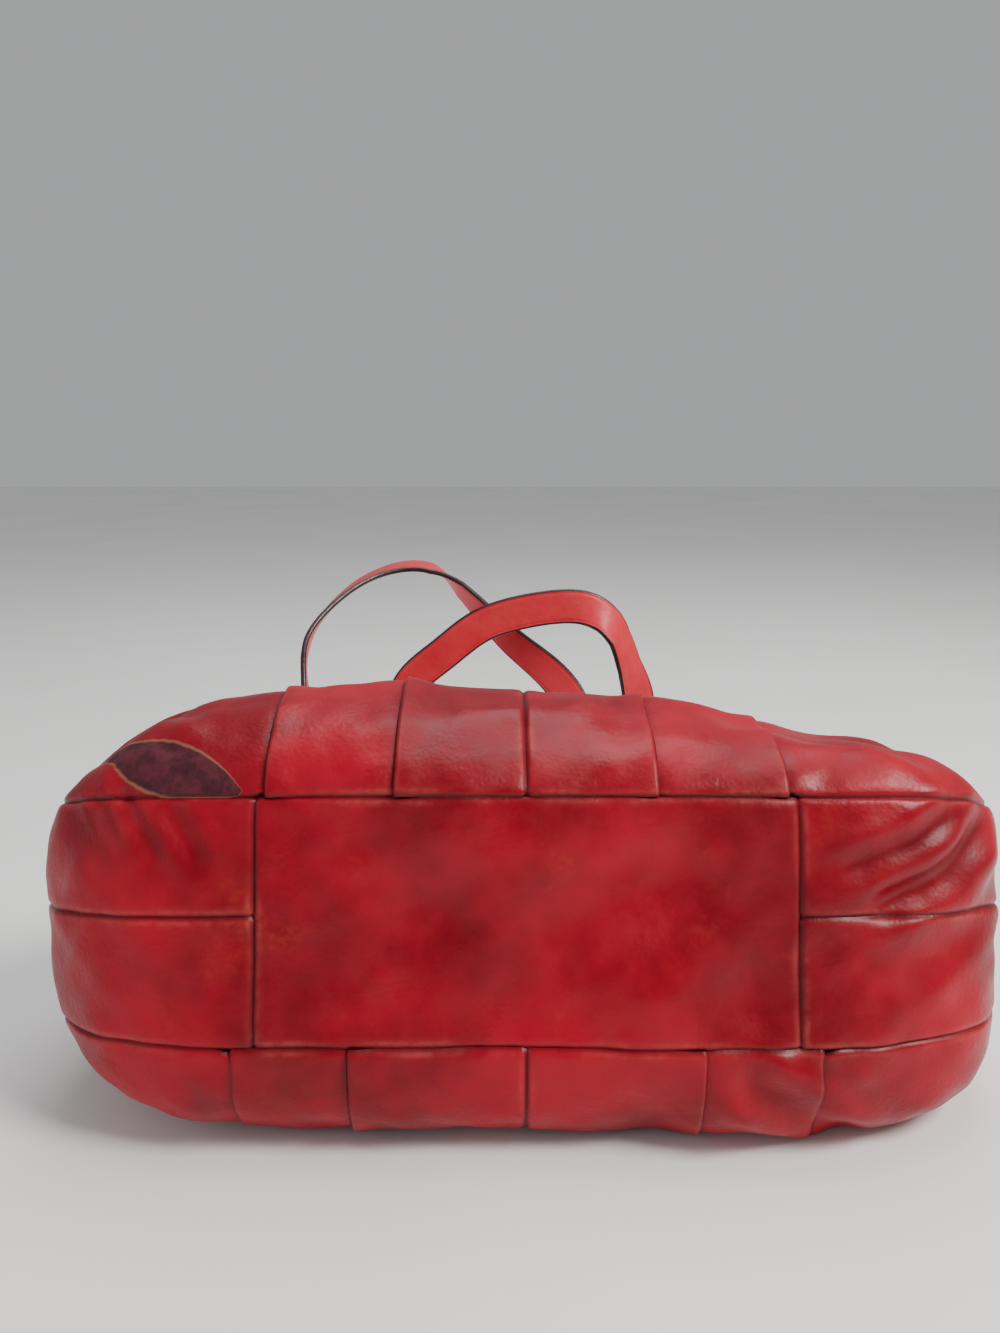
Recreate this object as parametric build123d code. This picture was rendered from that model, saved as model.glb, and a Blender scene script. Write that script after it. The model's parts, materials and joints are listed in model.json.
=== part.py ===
from build123d import *
import math
import os

# Slouchy pleated leather tote, lying on its back face.
# Millimetres, +Z up, +X across the bag, +Y from the base towards the mouth.
# The origin ends up at the centre of the footprint of the whole bag, on the table.

# ---- body of the bag ----
WIDTH = 430.0          # widest, a little behind the base
DEPTH = 182.0          # table to the crest of the front face
LENGTH = 270.0         # base to mouth
MOUTH_WIDTH = 310.0
MOUTH_TOP = 58.0       # table to the front edge of the mouth
MOUTH_BOTTOM = 9.0     # table to the back edge of the mouth
BASE_HALF = 122.0      # half length of the flat part of the base
BASE_LOW = 52.0        # table to the lower seam of the base
BASE_HIGH = 153.0      # table to the upper seam of the base
BASE_LEAN = 13.4       # degrees the base leans back from upright
SIDE_RUN = 56.0        # how far back the ends are still swelling
CREST_RUN = 74.0       # the same for the front face
BELLY_RUN = 42.0       # the same for the back face
SIDE_TAPER = 70.0      # where the ends start to draw in
CREST_TAPER = 75.0     # where the front face starts to fall
BELLY_TAPER = 140.0    # where the back face leaves the table
SINK = 1.5             # how far the back face is pressed flat by its own weight
SAG = 0.08             # fall of the front face towards the right
SLUMP = 24.0           # its further fall at the right end
ROUND_BASE = 5.0       # squareness of the base, of the four corners behind it and of the mouth
ROUND_LEFT = 2.75
ROUND_LEFT_LOW = 2.5
ROUND_RIGHT = 5.5
ROUND_RIGHT_LOW = 7.0
ROUND_MOUTH = 3.5

# ---- leather, seams and inside layers ----
LEATHER = 1.6
SEAM = 0.2             # butt gap along every seam
LAYER_GAP = 0.2        # between two layers of the wall
FACING = 1.4
FACING_WIDTH = 38.0
LINING = 0.8
LINING_SLACK = 0.8     # lining hangs clear of the facing by this much
LINING_SHORT = 28.0    # lining stops this far below the mouth
BASE_SEAM = 113.0      # half length of the base panel between its end seams
FRONT_PLEATS = (0.0, 54.0, 108.0)
BACK_PLEATS = (0.0, 73.0, 121.0)
SEAM_FRONT_MOUTH = 43.0
SEAM_BACK_MOUTH = 24.0
BOARD = 1.6
BOARD_MARGIN = 10.0    # base seams to the edge of the board, along and across it
BOARD_LIP = 8.5

# ---- handle fittings ----
STRAP_WIDTH = 26.0
STRAP_LAYER = 2.0
STRAP_GAP = 0.1
ATTACH = 80.0          # half distance between the two ends of a handle
TAB = 3.0              # folded tab, two thicknesses of leather
TAB_LENGTH = 42.0
TAB_REACH = 7.0        # mouth to the inner bar of a ring
WIRE = 3.5
RING_HEIGHT = 17.5
RING_CORNER = 4.0
RING_SLACK = 3.5       # play of the strap along the straight of a ring
RING_FIT = 0.1
CHAPE = 1.5            # leather wrapped round the outer bar
CHAPE_LENGTH = 30.0
CHAPE_GAP = 0.06
RIVET = 3.0
RIVET_HEAD = 8.4
RIVET_HEIGHT = 1.3
RIVET_FIT = 0.05
RIVET_SEAT = 0.45
TAB_RIVET = 12.0       # mouth edge to the tab rivet
CHAPE_RIVET = 18.0     # outer bar to the handle rivet
BACK_RING_TILT = 20.0
BACK_STRAP_TILT = 30.0
STRAP_ROWS = 46

# ---- sections the wall is lofted through: crowded at the base, one at the tab rivets ----
NOSE = 46.0            # inner layers crowd their own sections in front of this one
SECTION_POINTS = 24
REAR = LENGTH - NOSE
STATIONS = (0, 1.5, 4, 8, 13, 20, 30, NOSE)
STATIONS += tuple(NOSE + REAR * part for part in (0.07, 0.17, 0.3, 0.44, 0.6, 0.76, 0.87))
STATIONS += (LENGTH - TAB_RIVET, LENGTH, LENGTH + 20)

LEAN = math.tan(math.radians(BASE_LEAN))
RING_WIDTH = STRAP_WIDTH + 2 * RING_CORNER + RING_SLACK


def smooth(t):
    t = min(max(t, 0.0), 1.0)
    return t * t * (3 - 2 * t)


def blend(a, b, t):
    return a + (b - a) * smooth(t)


def swell(y, run, inset):
    """0 at the flat of the base, 1 where the wall runs straight back."""
    left = max(run - y, 0.0) / (run - inset)
    return math.sqrt(max(0.0, 1.0 - left * left))


def half_width(y, inset):
    full = BASE_HALF + (WIDTH / 2 - inset - BASE_HALF) * swell(y, SIDE_RUN, inset)
    taper = smooth((y - SIDE_TAPER) / (LENGTH - SIDE_TAPER))
    return full - (WIDTH - MOUTH_WIDTH) / 2 * taper


def crest(y, inset):
    full = BASE_HIGH + (DEPTH - inset - BASE_HIGH) * swell(y, CREST_RUN, inset)
    taper = smooth((y - CREST_TAPER) / (LENGTH - CREST_TAPER))
    return full - (DEPTH - MOUTH_TOP) * taper


def belly(y, inset):
    full = BASE_LOW - (BASE_LOW + SINK - inset) * swell(y, BELLY_RUN, inset)
    taper = smooth((y - BELLY_TAPER) / (LENGTH - BELLY_TAPER))
    return full + (MOUTH_BOTTOM + SINK) * taper


def wall_point(y, angle, inset):
    """Point of the wall at one turn round a section, `inset` inside the outer face."""
    c = math.cos(angle)
    s = math.sin(angle)
    left, right = (ROUND_LEFT, ROUND_RIGHT) if s >= 0 else (ROUND_LEFT_LOW, ROUND_RIGHT_LOW)
    end = left if c < 0 else right
    power = blend(ROUND_BASE, end, y / SIDE_RUN)
    power = blend(power, ROUND_MOUTH, (y - SIDE_TAPER) / (LENGTH - SIDE_TAPER))
    across = math.copysign(abs(c) ** (2 / power), c)
    up = math.copysign(abs(s) ** (2 / power), s)
    top = crest(y, inset)
    low = belly(y, inset)
    half = half_width(y, inset)
    z = (top + low) / 2 + (top - low) / 2 * up
    tilt = smooth(y / CREST_RUN) * (1 - smooth(y / LENGTH))
    fall = SAG * across * half + SLUMP * max(across, 0.0) ** 2
    z -= fall * max(up, 0.0) * tilt
    lean = LEAN * (1 - smooth(y / (LENGTH / 2)))
    return (across * half, y + lean * (z - BASE_LOW), z)


def section(y, inset):
    turns = [2 * math.pi * i / SECTION_POINTS for i in range(SECTION_POINTS)]
    points = [Vector(*wall_point(y, turn, inset)) for turn in turns]
    return Wire([Edge.make_spline(points, periodic=True)])


def bulk(inset, end=LENGTH + 20):
    """Solid bounded by the wall `inset` inside the outer face, from the base to y = end."""
    start = max(inset, 0.0)
    rows = [max(y, start + y * (NOSE - start) / NOSE) for y in STATIONS]
    body = Solid.make_loft([section(y, inset) for y in rows], ruled=True)
    body = above(body, (0, 0, start), (0, 0, 1))
    if end < rows[-1]:
        body = above(body, (0, end, 0), (0, -1, 0))
    return body


def above(shape, origin, direction):
    return split(shape, bisect_by=Plane(origin=origin, z_dir=direction), keep=Keep.TOP)


def span(shape, low, high):
    """The part of a shape between two x positions, less half a seam at each."""
    shape = above(shape, (low + SEAM / 2, 0, 0), (1, 0, 0))
    return above(shape, (high - SEAM / 2, 0, 0), (-1, 0, 0))


def side_of(shape, start, finish, sign):
    """The part above (+1) or below (-1) the plane through two (y, z) points."""
    dy = finish[0] - start[0]
    dz = finish[1] - start[1]
    normal = Vector(0, -dz, dy).normalized() * sign
    origin = Vector(0, *start) + normal * (SEAM / 2)
    return above(shape, tuple(origin), tuple(normal))


UPPER = ((LEAN * (BASE_HIGH - BASE_LOW), BASE_HIGH), (LENGTH, SEAM_FRONT_MOUTH))
LOWER = ((0.0, BASE_LOW), (LENGTH, SEAM_BACK_MOUTH))
MIDDLE = (
    ((UPPER[0][0] + LOWER[0][0]) / 2, (UPPER[0][1] + LOWER[0][1]) / 2),
    (LENGTH, (SEAM_FRONT_MOUTH + SEAM_BACK_MOUTH) / 2),
)


def leather_panels():
    shell = bulk(0.0, LENGTH) - bulk(LEATHER)
    front = side_of(shell, *UPPER, 1)
    back = side_of(shell, *LOWER, -1)
    rim = side_of(side_of(shell, *UPPER, -1), *LOWER, 1)
    nodes = {"base_panel": span(rim, -BASE_SEAM, BASE_SEAM)}
    ends = {"left": (-WIDTH, -BASE_SEAM), "right": (BASE_SEAM, WIDTH)}
    for name, limits in ends.items():
        gusset = span(rim, *limits)
        nodes[f"gusset_{name}_front"] = side_of(gusset, *MIDDLE, 1)
        nodes[f"gusset_{name}_back"] = side_of(gusset, *MIDDLE, -1)
    for face, skin, pleats in (("front", front, FRONT_PLEATS), ("back", back, BACK_PLEATS)):
        edges = pleats + (WIDTH,)
        for i, where in enumerate(("centre", "side", "outer")):
            nodes[f"{face}_{where}_left"] = span(skin, -edges[i + 1], -edges[i])
            nodes[f"{face}_{where}_right"] = span(skin, edges[i], edges[i + 1])
    return nodes


def inside_layers():
    outer = LEATHER + LAYER_GAP
    inner = outer + FACING
    stop = LENGTH - SEAM * 2
    ring = bulk(outer, stop) - bulk(inner)
    ring = above(ring, (0, LENGTH - FACING_WIDTH, 0), (0, 1, 0))
    hang = inner + LINING_SLACK
    sack = bulk(hang, LENGTH - LINING_SHORT) - bulk(hang + LINING)
    front = outer + LAYER_GAP
    corners = []
    for z, depth in (
        (BASE_LOW + BOARD_LIP, 0),
        (BASE_LOW + BOARD_LIP, BOARD),
        (BASE_HIGH - BOARD_LIP, BOARD),
        (BASE_HIGH - BOARD_LIP, 0),
    ):
        corners.append((0, front + depth + LEAN * (z - BASE_LOW), z))
    half = BASE_SEAM - BOARD_MARGIN
    board = extrude(make_face(Polyline(*corners, close=True)), half, (1, 0, 0), both=True)
    return {
        "facing_front": side_of(ring, *MIDDLE, 1),
        "facing_back": side_of(ring, *MIDDLE, -1),
        "lining": sack,
        "base_board": board,
    }


def wall_height(y, face, inset):
    """Height of the wall over the handle ends, on the front (+1) or back (-1) face."""
    low, high = sorted((0.0, face * math.pi / 2))
    for _ in range(50):
        angle = (low + high) / 2
        point = wall_point(y, angle, inset)
        if (point[0] < ATTACH) == (face > 0):
            high = angle
        else:
            low = angle
    return point[2]


def rivet(grip):
    """Double-capped rivet along z, `grip` between the heads, centred."""
    head = RIVET_HEAD / 2
    shank = RIVET / 2
    half = grip / 2
    top = half + RIVET_HEIGHT
    rim = half + RIVET_HEIGHT * 0.4
    shoulder = (head * 0.85, half + RIVET_HEIGHT * 0.8)
    right = [(0, top), (head * 0.5, top), shoulder, (head, rim), (head, half), (shank, half)]
    outline = right + [(x, -z) for x, z in right[::-1]]
    profile = make_face(Polyline(*[(x, 0, z) for x, z in outline], close=True))
    return revolve(profile, Axis.Z)


def rivet_hole(grip):
    return Cylinder(RIVET / 2 + RIVET_FIT, grip + 8)


def ring_shape():
    """Rectangular ring, inner bar along x through the origin, outer bar at y = RING_HEIGHT."""
    outline = Pos(0, RING_HEIGHT / 2) * RectangleRounded(RING_WIDTH, RING_HEIGHT, RING_CORNER)
    path = outline.wire()
    return sweep(Plane(origin=path @ 0, z_dir=path % 0) * Circle(WIRE / 2), path=path)


def chape_shape():
    """Leather wrapped round the outer bar, bar along x through the origin, strap towards +y."""
    inside = STRAP_LAYER + STRAP_GAP / 2 + CHAPE_GAP
    body = Rot(0, 90, 0) * Cylinder(inside + CHAPE, STRAP_WIDTH)
    for side in (-1, 1):
        middle = side * (inside + CHAPE / 2)
        body += Pos(0, CHAPE_LENGTH / 2, middle) * Box(STRAP_WIDTH, CHAPE_LENGTH, CHAPE)
    body -= Rot(0, 90, 0) * Cylinder(WIRE / 2 + RING_FIT, STRAP_WIDTH + 2)
    return body


def strap_rows(path, start, finish):
    """Positions, width directions and outward directions along the curved part of a handle."""
    points = [Vector(*p) for p, _ in path]
    outward = [Vector(*n).normalized() for _, n in path]
    curve = Edge.make_spline(points, tangents=[start, finish])
    marks = [curve.param_at_point(p) for p in points]
    rows = []
    for i in range(STRAP_ROWS + 1):
        u = i / STRAP_ROWS
        k = max(j for j in range(len(marks) - 1) if marks[j] <= u + 1e-9)
        t = (u - marks[k]) / (marks[k + 1] - marks[k])
        tangent = curve.tangent_at(u).normalized()
        normal = outward[k] * (1 - t) + outward[k + 1] * t
        normal = (normal - tangent * normal.dot(tangent)).normalized()
        rows.append((curve.position_at(u), tangent.cross(normal), normal))
    return rows, curve.length


def strap_layer(rows, low, high):
    wires = []
    for point, across, normal in rows:
        side = across * (STRAP_WIDTH / 2)
        corners = [
            point - side + normal * low,
            point + side + normal * low,
            point + side + normal * high,
            point - side + normal * high,
        ]
        wires.append(Wire.make_polygon(corners, close=True))
    return Solid.make_loft(wires, ruled=True)


# Rest shapes of the handles between their straight ends, y from the mouth:
# (point, direction its outer face looks).
FRONT_LOOP = [
    ((-83, 88, 58), (0, -0.1, 1)),
    ((-87, 122, 76), (0, -0.75, 0.65)),
    ((-81, 134, 111), (0, -1, 0.1)),
    ((-55, 135, 136), (0, -1, 0.1)),
    ((-26, 135, 158), (0, -1, 0.1)),
    ((2, 135, 168), (0, -1, 0.1)),
    ((32, 134, 173), (0, -1, 0.1)),
    ((54, 132, 172), (0.25, -0.95, 0.2)),
    ((70, 130, 163), (0.5, -0.8, 0.3)),
    ((79, 130, 150), (0.75, -0.65, 0.1)),
    ((87, 130, 128), (0.7, -0.7, 0)),
    ((94, 130, 104), (0.3, -0.95, 0)),
    ((91, 119, 77), (0, -0.75, 0.65)),
    ((84, 88, 58), (0, -0.1, 1)),
]
BACK_LOOP = [
    ((-114, 62, 46), (-0.6, 0.55, -0.55)),
    ((-141, 81, 82), (-0.9, 0.3, -0.3)),
    ((-154, 102, 124), (-1, -0.1, 0)),
    ((-155, 120, 146), (-1, -0.15, 0.1)),
    ((-137, 148, 174), (-0.75, -0.15, 0.6)),
    ((-104, 174, 194), (-0.4, -0.12, 0.9)),
    ((-65, 182, 196), (0.25, -0.1, 0.95)),
    ((-42, 178, 180), (0.6, 0.45, 0.6)),
    ((-1, 160, 141), (0.3, 0.87, 0.35)),
    ((42, 135, 102), (0.05, 1, -0.1)),
    ((54, 108, 58), (0.1, 0.9, -0.5)),
    ((72, 72, 36), (0.1, 0.5, -0.85)),
]


def handle(loop, anchor, tilt, outer_sign):
    """Strap layers, end chapes and rivets of one handle; anchor is the outer bar's (y, z)."""
    along = Vector(0, math.cos(math.radians(tilt)), math.sin(math.radians(tilt)))
    outward = Vector(0, -along.Z, along.Y) * outer_sign
    inside = STRAP_LAYER + STRAP_GAP / 2 + CHAPE_GAP
    near = inside + CHAPE + 0.5
    far = CHAPE_LENGTH + 2
    ends = [(tuple(Vector(x, *anchor) + along * far), tuple(outward)) for x in (-ATTACH, ATTACH)]
    loop = [((x, LENGTH + y, z), facing) for (x, y, z), facing in loop]
    rows, length = strap_rows([ends[0]] + loop + [ends[1]], along, -along)
    length += 2 * (far - near)
    thick = STRAP_LAYER + STRAP_GAP / 2
    first = (Vector(-ATTACH, *anchor) + along * near, *rows[0][1:])
    last = (Vector(ATTACH, *anchor) + along * near, *rows[-1][1:])
    rows = [first] + rows + [last]
    layers = [strap_layer(rows, STRAP_GAP / 2, thick), strap_layer(rows, -thick, -STRAP_GAP / 2)]
    grip = 2 * (inside + CHAPE) + 2 * RIVET_SEAT
    chapes = []
    rivets = []
    for x in (-ATTACH, ATTACH):
        place = Plane(origin=(x, *anchor), x_dir=(1, 0, 0), z_dir=tuple(Vector(0, -along.Z, along.Y)))
        hole = place * Pos(0, CHAPE_RIVET, 0) * rivet_hole(grip)
        chapes.append(place * chape_shape() - hole)
        rivets.append(place * Pos(0, CHAPE_RIVET, 0) * rivet(grip))
        layers = [layer - hole for layer in layers]
    return layers, chapes, rivets, length


def tab_shape(x, face):
    """Folded tab laid on the outside of the wall with a loop round the ring's inner bar."""
    bar = (x, LENGTH + TAB_REACH, wall_height(LENGTH, face, -LAYER_GAP - TAB / 2))
    strip = bulk(-LAYER_GAP - TAB, bar[1]) - bulk(-LAYER_GAP)
    strip = above(strip, (0, LENGTH - TAB_LENGTH, 0), (0, 1, 0))
    strip = side_of(strip, *MIDDLE, face)
    strip = strip & Pos(x, LENGTH, 0) * Box(STRAP_WIDTH, 4 * TAB_LENGTH, 2 * DEPTH)
    loop = WIRE / 2 + RING_FIT + TAB / 2
    tab = strip + Pos(*bar) * Rot(0, 90, 0) * Cylinder(loop, STRAP_WIDTH)
    tab -= Pos(*bar) * Rot(0, 90, 0) * Cylinder(WIRE / 2 + RING_FIT, STRAP_WIDTH + 2)
    return tab, bar


def build():
    nodes = leather_panels()
    nodes.update(inside_layers())
    joints = {}
    for face, sign, ring_tilt, strap_tilt, loop in (
        ("front", 1, 0.0, 0.0, FRONT_LOOP),
        ("back", -1, BACK_RING_TILT, BACK_STRAP_TILT, BACK_LOOP),
    ):
        middle_inset = (LEATHER + LAYER_GAP + FACING - LAYER_GAP - TAB) / 2
        y = LENGTH - TAB_RIVET
        slope = wall_height(y + 2, sign, middle_inset) - wall_height(y - 2, sign, middle_inset)
        normal = Vector(0, -slope, 4).normalized()
        grip = LEATHER + 2 * LAYER_GAP + FACING + TAB + 2 * RIVET_SEAT
        rivets = []
        for side, x in (("left", -ATTACH), ("right", ATTACH)):
            spot = (x, y, wall_height(y, sign, middle_inset))
            place = Plane(origin=spot, x_dir=(1, 0, 0), z_dir=tuple(normal))
            hole = place * rivet_hole(grip)
            tab, bar = tab_shape(x, sign)
            nodes[f"tab_{face}_{side}"] = tab - hole
            for name in (f"{face}_side_{side}", f"facing_{face}"):
                nodes[name] = nodes[name] - hole
            rivets.append(place * rivet(grip))
            turn = math.radians(ring_tilt)
            seat = Plane(origin=bar, x_dir=(1, 0, 0), z_dir=(0, -math.sin(turn), math.cos(turn)))
            nodes[f"ring_{face}_{side}"] = seat * ring_shape()
        nodes[f"tab_rivets_{face}"] = Compound(rivets)
        outer_bar = (bar[1] + RING_HEIGHT * math.cos(turn), bar[2] + RING_HEIGHT * math.sin(turn))
        layers, chapes, studs, length = handle(loop, outer_bar, strap_tilt, sign)
        nodes[f"handle_{face}_outer"], nodes[f"handle_{face}_inner"] = layers
        nodes[f"chape_{face}_left"], nodes[f"chape_{face}_right"] = chapes
        nodes[f"handle_rivets_{face}"] = Compound(studs)
        joints[face] = (bar[1:], outer_bar, length)
    return nodes, joints


def main():
    nodes, joints = build()
    box = Compound([n for n in nodes.values()]).bounding_box()
    shift = Vector(-(box.min.X + box.max.X) / 2, -(box.min.Y + box.max.Y) / 2, -box.min.Z)
    os.makedirs("parts", exist_ok=True)
    for name, shape in nodes.items():
        solids = [Pos(*shift) * solid for solid in shape.solids()]
        export_step(solids[0] if len(solids) == 1 else Compound(solids), f"parts/{name}.step")
    print("shift", [round(v, 3) for v in shift])
    for face, (inner, outer, length) in joints.items():
        for label, bar in (("ring", inner), ("handle", outer)):
            print(face, label, "axis y, z:", round(bar[0] + shift.Y, 3), round(bar[1] + shift.Z, 3))
        print(face, "strap length", round(length, 1))
    size = box.max - box.min
    print("overall", [round(v, 2) for v in size])


main()
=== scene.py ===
import json
import math

import bpy
import numpy as np
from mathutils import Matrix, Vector


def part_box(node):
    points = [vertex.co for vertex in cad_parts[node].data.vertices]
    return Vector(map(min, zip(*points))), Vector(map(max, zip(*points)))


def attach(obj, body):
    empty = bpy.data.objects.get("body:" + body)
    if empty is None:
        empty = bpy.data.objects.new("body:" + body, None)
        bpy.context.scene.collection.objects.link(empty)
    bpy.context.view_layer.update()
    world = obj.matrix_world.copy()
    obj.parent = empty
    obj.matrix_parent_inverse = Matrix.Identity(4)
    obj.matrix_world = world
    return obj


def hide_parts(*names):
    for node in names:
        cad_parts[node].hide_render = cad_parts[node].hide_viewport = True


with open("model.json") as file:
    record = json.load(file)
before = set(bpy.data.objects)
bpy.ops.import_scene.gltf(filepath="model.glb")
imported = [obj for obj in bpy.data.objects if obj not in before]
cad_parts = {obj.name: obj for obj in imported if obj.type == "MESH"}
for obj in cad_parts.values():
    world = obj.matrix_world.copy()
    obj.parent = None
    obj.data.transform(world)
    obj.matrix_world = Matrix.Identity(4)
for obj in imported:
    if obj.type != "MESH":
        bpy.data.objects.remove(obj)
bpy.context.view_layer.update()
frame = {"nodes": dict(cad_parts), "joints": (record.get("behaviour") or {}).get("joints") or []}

# ------------------------------------------------------------------ the bag's wall, in millimetres
WIDTH, DEPTH, LENGTH = 430.0, 182.0, 270.0
MOUTH_WIDTH, MOUTH_TOP, MOUTH_BOTTOM = 310.0, 58.0, 9.0
BASE_HALF, BASE_LOW, BASE_HIGH = 122.0, 52.0, 153.0
LEAN = math.tan(math.radians(13.4))
SIDE_RUN, CREST_RUN, BELLY_RUN = 56.0, 74.0, 42.0
SIDE_TAPER, CREST_TAPER, BELLY_TAPER = 70.0, 75.0, 140.0
SINK, SAG, SLUMP = 1.5, 0.08, 24.0
ROUND_BASE, ROUND_MOUTH = 5.0, 3.5
ROUND_LEFT, ROUND_LEFT_LOW = 2.75, 2.5
ROUND_RIGHT, ROUND_RIGHT_LOW = 5.5, 7.0
BASE_SEAM = 113.0
FRONT_PLEATS = (0.0, 54.0, 108.0)
BACK_PLEATS = (0.0, 73.0, 121.0)
SEAM_FRONT_MOUTH, SEAM_BACK_MOUTH = 43.0, 24.0
ATTACH = 80.0
STRAP_HALF = 13.0      # half width of every strap, tab and chape
STRAP_THICK = 2.0      # half thickness of a handle
TAB_LENGTH = 42.0
FACING_SHORT = 0.4     # the facing stops this far below the mouth
BACK_STRAP_TILT = 30.0

rings_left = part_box("ring_front_left")[0][0]
rings_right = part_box("ring_front_right")[1][0]
facing_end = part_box("facing_front")[1][1]
SHIFT = np.array([(rings_left + rings_right) * 500.0, facing_end * 1000.0 - (LENGTH - FACING_SHORT), 0.0])


def metres(points):
    return (np.asarray(points, float) + SHIFT) * 0.001


def smooth(t):
    t = np.clip(t, 0.0, 1.0)
    return t * t * (3 - 2 * t)


def swell(y, run, inset):
    left = np.maximum(run - y, 0.0) / (run - inset)
    return np.sqrt(np.maximum(0.0, 1.0 - left * left))


def half_width(y, inset):
    full = BASE_HALF + (WIDTH / 2 - inset - BASE_HALF) * swell(y, SIDE_RUN, inset)
    return full - (WIDTH - MOUTH_WIDTH) / 2 * smooth((y - SIDE_TAPER) / (LENGTH - SIDE_TAPER))


def crest(y, inset):
    full = BASE_HIGH + (DEPTH - inset - BASE_HIGH) * swell(y, CREST_RUN, inset)
    return full - (DEPTH - MOUTH_TOP) * smooth((y - CREST_TAPER) / (LENGTH - CREST_TAPER))


def belly(y, inset):
    full = BASE_LOW - (BASE_LOW + SINK - inset) * swell(y, BELLY_RUN, inset)
    return full + (MOUTH_BOTTOM + SINK) * smooth((y - BELLY_TAPER) / (LENGTH - BELLY_TAPER))


def power_at(y, left, low):
    left_end = np.where(low, ROUND_LEFT_LOW, ROUND_LEFT)
    right_end = np.where(low, ROUND_RIGHT_LOW, ROUND_RIGHT)
    end = np.where(left, left_end, right_end)
    power = ROUND_BASE + (end - ROUND_BASE) * smooth(y / SIDE_RUN)
    return power + (ROUND_MOUTH - power) * smooth((y - SIDE_TAPER) / (LENGTH - SIDE_TAPER))


def wall(y, turn, inset=0.0):
    """Points of the wall, `inset` inside the outer face, at rows y and turns round the section."""
    y, turn = np.broadcast_arrays(np.asarray(y, float), np.asarray(turn, float))
    c, s = np.cos(turn), np.sin(turn)
    power = power_at(y, c < 0, s < 0)
    across = np.sign(c) * np.abs(c) ** (2 / power)
    up = np.sign(s) * np.abs(s) ** (2 / power)
    top, low, half = crest(y, inset), belly(y, inset), half_width(y, inset)
    z = (top + low) / 2 + (top - low) / 2 * up
    tilt = smooth(y / CREST_RUN) * (1 - smooth(y / LENGTH))
    z = z - (SAG * across * half + SLUMP * np.maximum(across, 0.0) ** 2) * np.maximum(up, 0.0) * tilt
    z = np.maximum(z, inset)
    lean = LEAN * (1 - smooth(y / (LENGTH / 2)))
    return np.stack([across * half, y + lean * (z - BASE_LOW), z], -1)


def unit(v):
    return v / np.maximum(np.linalg.norm(v, axis=-1, keepdims=True), 1e-9)


def wall_normal(y, turn):
    """Outward normals of the wall, by differences small enough not to cross the flat of the base."""
    y = np.maximum(np.asarray(y, float), 0.05)
    du = wall(y, turn + 0.004) - wall(y, turn - 0.004)
    dv = wall(y + 0.04, turn) - wall(y - 0.04, turn)
    return unit(np.cross(dv, du))


def plane_z(line, y):
    (y0, z0), (y1, z1) = line
    return z0 + (z1 - z0) * (y - y0) / (y1 - y0)


UPPER = ((LEAN * (BASE_HIGH - BASE_LOW), BASE_HIGH), (LENGTH, SEAM_FRONT_MOUTH))
LOWER = ((0.0, BASE_LOW), (LENGTH, SEAM_BACK_MOUTH))


def turn_at_x(y, x, face):
    """Turn at which a row reaches x on the front (+1) or back (-1) face."""
    part = np.clip(np.abs(x) / half_width(y, 0.0), 0.0, 1.0)
    c = part ** (power_at(y, x < 0, face < 0) / 2)
    turn = np.arccos(np.clip(c, 0, 1))
    turn = np.where(x < 0, np.pi - turn, turn) * face
    return np.where((x < 0) & (turn < 0), turn + 2 * np.pi, turn)


def turn_at_height(y, side, height):
    """Turn on one side (-1 left, +1 right) where a row reaches height(y'), from below up."""
    low = np.full_like(y, -np.pi / 2)
    high = np.full_like(y, np.pi / 2)
    for _ in range(40):
        mid = (low + high) / 2
        p = wall(y, mid if side > 0 else np.pi - mid)
        above = p[..., 2] > height(p[..., 1])
        high = np.where(above, mid, high)
        low = np.where(above, low, mid)
    mid = (low + high) / 2
    return mid if side > 0 else np.pi - mid


# ------------------------------------------------------------------ dents, folds and soft noise
rng = np.random.default_rng(7)
WAVES = rng.normal(size=(48, 3))
WAVES /= np.linalg.norm(WAVES, axis=1, keepdims=True)
PHASES = rng.uniform(0, 2 * np.pi, 48)


def soft_noise(p, size, first=0, count=10):
    """Smooth noise between about -1 and 1 with features about `size` mm across."""
    total = 0.0
    for i in range(first, first + count):
        k = 2 * np.pi / (size * (0.75 + 0.07 * (i % 8)))
        total = total + np.sin(p @ WAVES[i] * k + PHASES[i])
    return total / math.sqrt(count)


def along(p, points):
    """Distance to a polyline, signed side by height, and how far along it (0 to 1)."""
    points = np.asarray(points, float)
    best = np.full(p.shape[:-1], 1e9)
    where = np.zeros(p.shape[:-1])
    lengths = np.linalg.norm(np.diff(points, axis=0), axis=1)
    total, run = lengths.sum(), 0.0
    for a, b, length in zip(points[:-1], points[1:], lengths):
        t = np.clip(((p - a) @ (b - a)) / length ** 2, 0, 1)
        d = np.linalg.norm(p - (a + t[..., None] * (b - a)), axis=-1)
        near = d < best
        best = np.where(near, d, best)
        where = np.where(near, (run + t * length) / total, where)
        run += length
    return best, where


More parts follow.
